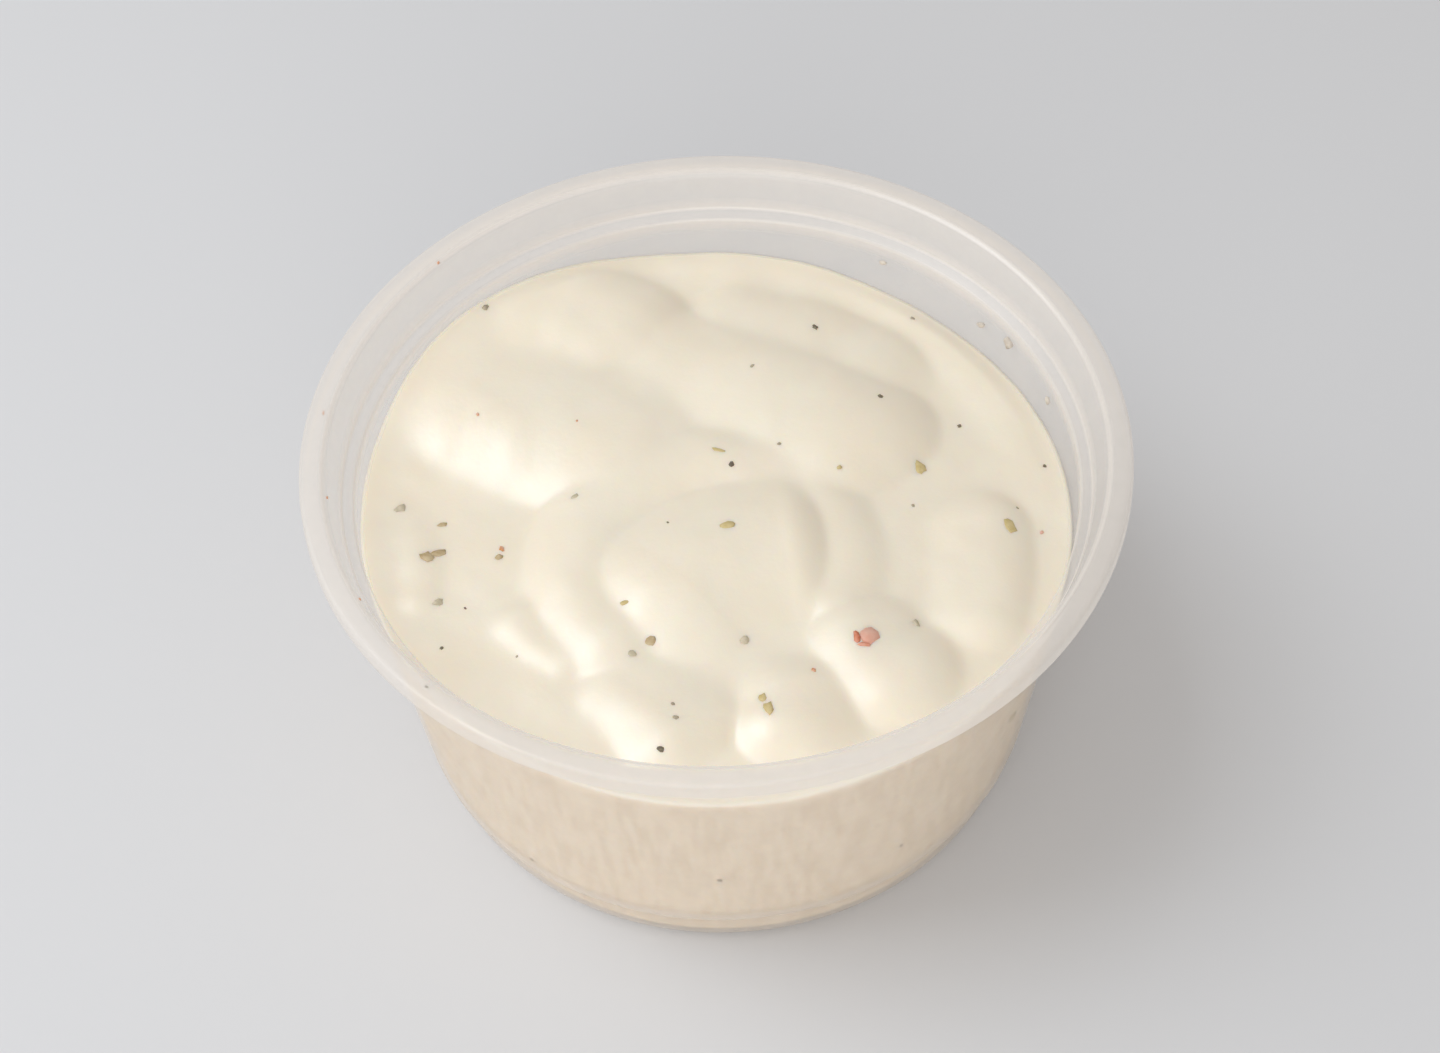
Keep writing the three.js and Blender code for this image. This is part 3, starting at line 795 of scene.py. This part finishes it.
def chip_shape(rng, rings=5, sides=9):
    """Points and faces of one uneven chip about 1 across, its outline cut at random."""
    outline = [1 + 0.25 * rng.uniform(-1, 1) for _ in range(sides)]
    points = [(0, 0, -0.5)]
    for ring in range(1, rings):
        lift = -math.cos(math.pi * ring / rings) / 2
        width = math.sin(math.pi * ring / rings) ** 0.6 / 2
        for side in range(sides):
            turn = 2 * math.pi * side / sides
            reach = width * outline[side] * (1 + 0.08 * rng.uniform(-1, 1))
            points.append(
                (reach * math.cos(turn), reach * math.sin(turn), lift + 0.1 * rng.uniform(-1, 1))
            )
    points.append((0, 0, 0.5))
    faces = []
    for ring in range(rings - 2):
        lower = 1 + ring * sides
        for side in range(sides):
            after = (side + 1) % sides
            faces.append((lower + side, lower + after, lower + sides + after, lower + sides + side))
    last = 1 + (rings - 2) * sides
    for side in range(sides):
        after = (side + 1) % sides
        faces.append((0, 1 + after, 1 + side))
        faces.append((len(points) - 1, last + side, last + after))
    return np.array(points), faces


def surface_frame(x, y, reach=0.4):
    """The surface's point and its axes under a flake."""
    here = dressed_height(np.array([x]), np.array([y]))[0]
    right = dressed_height(np.array([x + reach]), np.array([y]))[0]
    back = dressed_height(np.array([x]), np.array([y + reach]))[0]
    across = Vector((reach, 0, right - here)).normalized()
    upward = across.cross(Vector((0, reach, back - here))).normalized()
    return Vector((x, y, here)), Matrix((across, upward.cross(across), upward)).transposed()


def flakes_on_top(flakes):
    """Chips from flakes that are listed by place, length, width, thickness and turn."""
    return [(surface_frame(x, y), size, math.radians(turn)) for x, y, *size, turn in flakes]


def specks_on_top(places, seed):
    """Chips from specks that are listed by place and size."""
    rng = random.Random(seed)
    chips = []
    for x, y, size in places:
        width = size * rng.uniform(0.65, 0.95)
        chips.append((surface_frame(x, y), (size, width, size * 0.6), rng.uniform(0, math.pi)))
    return chips


def specks_on_wall(places, seed):
    """Chips from specks that are listed by direction, distance, height and size."""
    rng = random.Random(seed)
    chips = []
    for direction, radius, z, size in places:
        if radius is None:
            radius = wall_radius(z) + REACH_INTO_WALL
        angle = math.radians(direction)
        outward = Vector((math.cos(angle), math.sin(angle), 0))
        upward = Vector((0, 0, 1))
        axes = Matrix((upward.cross(outward), upward, outward)).transposed()
        place = outward * radius + upward * z
        chips.append(((place, axes), (size, size * 0.7, size * 0.5), rng.uniform(0, math.pi)))
    return chips


def make_chips(name, chips, material, seed, sunk=0.15):
    """One joined piece of chips, each a frame to lie in, a size and a turn."""
    rng = random.Random(seed)
    all_points, all_faces = [], []
    for (place, axes), (length, width, thickness), turn in chips:
        shape, faces = chip_shape(rng)
        spin = Matrix.Rotation(turn, 3, "Z")
        offset = sum(len(block) for block in all_points)
        placed = [
            place
            + axes @ (spin @ Vector((px * length, py * width, (pz - sunk) * thickness)))
            for px, py, pz in shape
        ]
        all_points.append(np.array(placed))
        all_faces += [tuple(index + offset for index in face) for face in faces]
    piece = new_piece(name, np.vstack(all_points), all_faces, material)
    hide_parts("dressing")
    return piece


# ---- The room ----


def make_floor(material):
    half = FLOOR_HALF_SIZE
    mesh = bpy.data.meshes.new("floor")
    corners = [(-half, -half), (half, -half), (half, half), (-half, half)]
    mesh.from_pydata([(x * MM, y * MM, 0) for x, y in corners], [], [(0, 1, 2, 3)])
    floor = bpy.data.objects.new("floor", mesh)
    bpy.context.scene.collection.objects.link(floor)
    mesh.materials.append(material)


def add_light(name, toward, distance, size, power, colour):
    """A square soft light in a direction from the cup, facing it."""
    light = bpy.data.lights.new(name, "AREA")
    light.shape = "SQUARE"
    light.size, light.energy, light.color = size, power, colour
    lamp = bpy.data.objects.new(name, light)
    lamp.location = Vector(toward).normalized() * distance
    lamp.rotation_euler = (-lamp.location).to_track_quat("-Z", "Y").to_euler()
    bpy.context.scene.collection.objects.link(lamp)


def light_room():
    scene = bpy.context.scene
    scene.world = bpy.data.worlds.new("pale_room")
    scene.world.use_nodes = True
    background = scene.world.node_tree.nodes["Background"]
    background.inputs["Color"].default_value = (*ROOM_COLOUR, 1)
    background.inputs["Strength"].default_value = ROOM_STRENGTH
    add_light("key", KEY_TOWARD, KEY_DISTANCE, KEY_SIZE, KEY_POWER, KEY_COLOUR)
    add_light("front_fill", FILL_TOWARD, FILL_DISTANCE, FILL_SIZE, FILL_POWER, FILL_COLOUR)
    scene.view_settings.view_transform = "Standard"
    scene.view_settings.look = "None"


# The camera as fitted to the rim, the wall and the foot in the photograph
CAMERA_PLACE = (0, -193.4, 258.4)
CAMERA_AIM = (0.14, 0, 25.16)
CAMERA_ROLL = -2.263
LENS = 83.37
SENSOR_WIDTH = 36


def make_camera():
    data = bpy.data.cameras.new("camera")
    data.lens, data.sensor_width = LENS, SENSOR_WIDTH
    camera = bpy.data.objects.new("camera", data)
    place, aim = Vector(CAMERA_PLACE) * MM, Vector(CAMERA_AIM) * MM
    look = (aim - place).to_track_quat("-Z", "Y").to_matrix()
    roll = Matrix.Rotation(math.radians(CAMERA_ROLL), 3, "Z")
    camera.matrix_world = Matrix.Translation(place) @ (look @ roll).to_4x4()
    data.clip_start, data.clip_end = 0.01, 10
    bpy.context.scene.collection.objects.link(camera)
    bpy.context.scene.camera = camera


def build():
    make_camera()
    light_room()
    make_floor(floor_material())
    make_cup(plastic_material())
    make_dressing(dressing_material())
    mustard = flake_material("dry_herb", MUSTARD, PALE_MUSTARD, 0.5, 0.5)
    grey_green = flake_material("sunk_herb", GREY_GREEN, PALE_GREY_GREEN, 0.5, 0.5)
    onion = flake_material("dried_onion", ONION_TAN, ONION_PALE, 0.6, 0.5)
    pepper = flake_material("red_pepper", PEPPER_ROSE, PEPPER_PINK, 1.2, 0.4)
    skin = flake_material("red_pepper_skin", PEPPER_RED, PEPPER_ROSE, 0.8, 0.4)
    dark = flake_material("ground_pepper", DARK_BROWN, DARK_GREEN, 0.4, 0.6)
    faint = flake_material("faint_ground_pepper", FAINT_GREY, FAINT_BROWN, 0.4, 0.6)
    orange = flake_material("paprika", ORANGE, PEPPER_PINK, 0.5, 0.6)
    smear = flake_material("smeared_dressing", SMEAR_TAN, SMEAR_PALE, 0.8, 0.5)
    make_chips("mustard_herb_flakes", flakes_on_top(MUSTARD_HERBS), mustard, 11)
    grey_chips = flakes_on_top(GREY_HERBS) + specks_on_wall(WALL_HERBS, 22)
    make_chips("grey_herb_flakes", grey_chips, grey_green, 18)
    make_chips("onion_bits", flakes_on_top(ONION), onion, 12)
    make_chips("red_pepper_bit", flakes_on_top(RED_PEPPER), pepper, 13)
    make_chips("red_pepper_skin", flakes_on_top(PEPPER_SKIN), skin, 19)
    dark_chips = specks_on_top(DARK_SPECKS, 14) + specks_on_wall(WALL_DARK_SPECKS, 23)
    make_chips("ground_pepper_specks", dark_chips, dark, 15)
    make_chips("faint_pepper_specks", specks_on_top(FAINT_SPECKS, 20), faint, 21)
    orange_chips = specks_on_top(ORANGE_SPECKS, 16) + specks_on_wall(RIM_ORANGE_SPECKS, 24)
    make_chips("paprika_specks", orange_chips, orange, 17)
    make_chips("dressing_smears", specks_on_wall(WALL_SMEARS, 25), smear, 26)


build()
